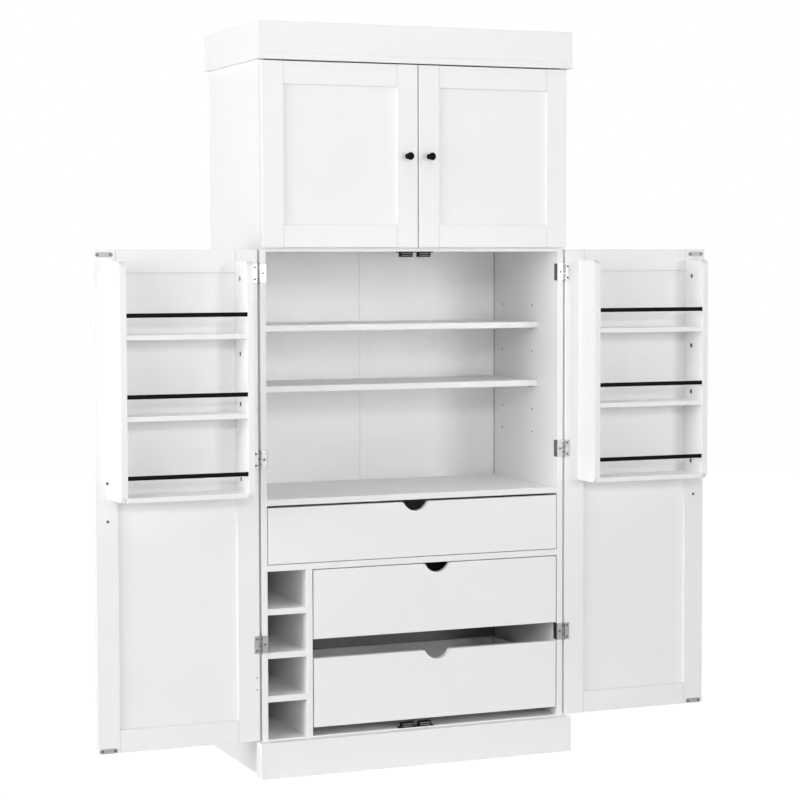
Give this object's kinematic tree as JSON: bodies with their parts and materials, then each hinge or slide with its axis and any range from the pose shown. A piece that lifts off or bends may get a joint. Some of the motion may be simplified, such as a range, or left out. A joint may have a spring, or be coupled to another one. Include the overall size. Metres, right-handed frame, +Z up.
{
  "type": "pantry cabinet",
  "caption": "Tall white pantry cabinet: an upper cupboard, a shelved compartment with door racks, drawers and a column of bottle cells.",
  "frame": {"origin": "on the floor, in the middle of the footprint with the lower doors folded flat open", "axes": "+Z up, +X to the right seen from the front, +Y towards the wall behind; the doors and drawers face -Y"},
  "size_m": [1.609, 0.47, 1.8],
  "materials": {
    "white_paint": "satin white lacquer on board",
    "back_board": "thin white-faced hardboard",
    "hinge_nickel": "satin nickel",
    "runner_zinc": "zinc plated sheet",
    "strike_steel": "zinc plated plate",
    "screw_steel": "zinc plated",
    "catch_black": "black moulded plastic",
    "glide_nylon": "white nylon",
    "iron_black": "satin black powder coat"
  },
  "bodies": {
    "carcass": {"adjustable_shelves": "white_paint", "back_panels": "back_board", "back_seam_strip": "back_board", "bottom_panel": "white_paint", "butt_hinge_frame_leaves": "hinge_nickel", "butt_hinge_pins": "hinge_nickel", "cabinet_runners": "runner_zinc", "catch_cases": "catch_black", "catch_pole_plates": "strike_steel", "compartment_floor": "white_paint", "cornice_front": "white_paint", "cornice_sides": "white_paint", "cubby_divider": "white_paint", "cubby_shelves": "white_paint", "cup_hinge_arms": "hinge_nickel", "divider_shelf": "white_paint", "drawer_panel": "white_paint", "frame_screws": "screw_steel", "plinth_front": "white_paint", "plinth_returns": "white_paint", "runner_glides": "glide_nylon", "shelf_pins": "screw_steel", "side_panel_left": "white_paint", "side_panel_right": "white_paint", "top_board": "white_paint"},
    "upper_left_door": {"upper_left_door_frame": "white_paint", "upper_left_door_hinge_cups": "hinge_nickel", "upper_left_door_knob": "iron_black", "upper_left_door_panel": "white_paint"},
    "upper_right_door": {"upper_right_door_frame": "white_paint", "upper_right_door_hinge_cups": "hinge_nickel", "upper_right_door_knob": "iron_black", "upper_right_door_panel": "white_paint"},
    "lower_left_door": {"lower_left_door_fasteners": "screw_steel", "lower_left_door_frame": "white_paint", "lower_left_door_hinge_leaves": "hinge_nickel", "lower_left_door_panel": "white_paint", "lower_left_door_pull": "iron_black", "lower_left_door_rack_bars": "iron_black", "lower_left_door_rack_shelves": "white_paint", "lower_left_door_rack_sides": "white_paint", "lower_left_door_strike_plates": "strike_steel"},
    "lower_right_door": {"lower_right_door_fasteners": "screw_steel", "lower_right_door_frame": "white_paint", "lower_right_door_hinge_leaves": "hinge_nickel", "lower_right_door_panel": "white_paint", "lower_right_door_pull": "iron_black", "lower_right_door_rack_bars": "iron_black", "lower_right_door_rack_shelves": "white_paint", "lower_right_door_rack_sides": "white_paint", "lower_right_door_strike_plates": "strike_steel"},
    "drawer_top": {"drawer_top_box": "white_paint", "drawer_top_front": "white_paint", "drawer_top_sliders": "runner_zinc"},
    "drawer_middle": {"drawer_middle_box": "white_paint", "drawer_middle_front": "white_paint", "drawer_middle_sliders": "runner_zinc"},
    "drawer_bottom": {"drawer_bottom_box": "white_paint", "drawer_bottom_front": "white_paint", "drawer_bottom_sliders": "runner_zinc"}
  },
  "joints": [
    {"name": "upper_left_door_hinge", "type": "hinge", "parent": "carcass", "child": "upper_left_door", "pos_m": [-0.399, -0.1484, 0.9], "axis": [0, 0, -1], "range_deg": [0, 105]},
    {"name": "upper_right_door_hinge", "type": "hinge", "parent": "carcass", "child": "upper_right_door", "pos_m": [0.399, -0.1484, 0.9], "axis": [0, 0, 1], "range_deg": [0, 105]},
    {"name": "lower_left_door_hinge", "type": "hinge", "parent": "carcass", "child": "lower_left_door", "pos_m": [-0.403, -0.1484, 0.677], "axis": [0, 0, -1], "range_deg": [-180, 0]},
    {"name": "lower_right_door_hinge", "type": "hinge", "parent": "carcass", "child": "lower_right_door", "pos_m": [0.403, -0.1484, 0.677], "axis": [0, 0, 1], "range_deg": [-180, 0]},
    {"name": "drawer_top_slide", "type": "slide", "parent": "carcass", "child": "drawer_top", "axis": [0, -1, 0], "range_m": [0, 0.24]},
    {"name": "drawer_middle_slide", "type": "slide", "parent": "carcass", "child": "drawer_middle", "axis": [0, -1, 0], "range_m": [0, 0.24]},
    {"name": "drawer_bottom_slide", "type": "slide", "parent": "carcass", "child": "drawer_bottom", "axis": [0, -1, 0], "range_m": [0, 0.24]}
  ]
}
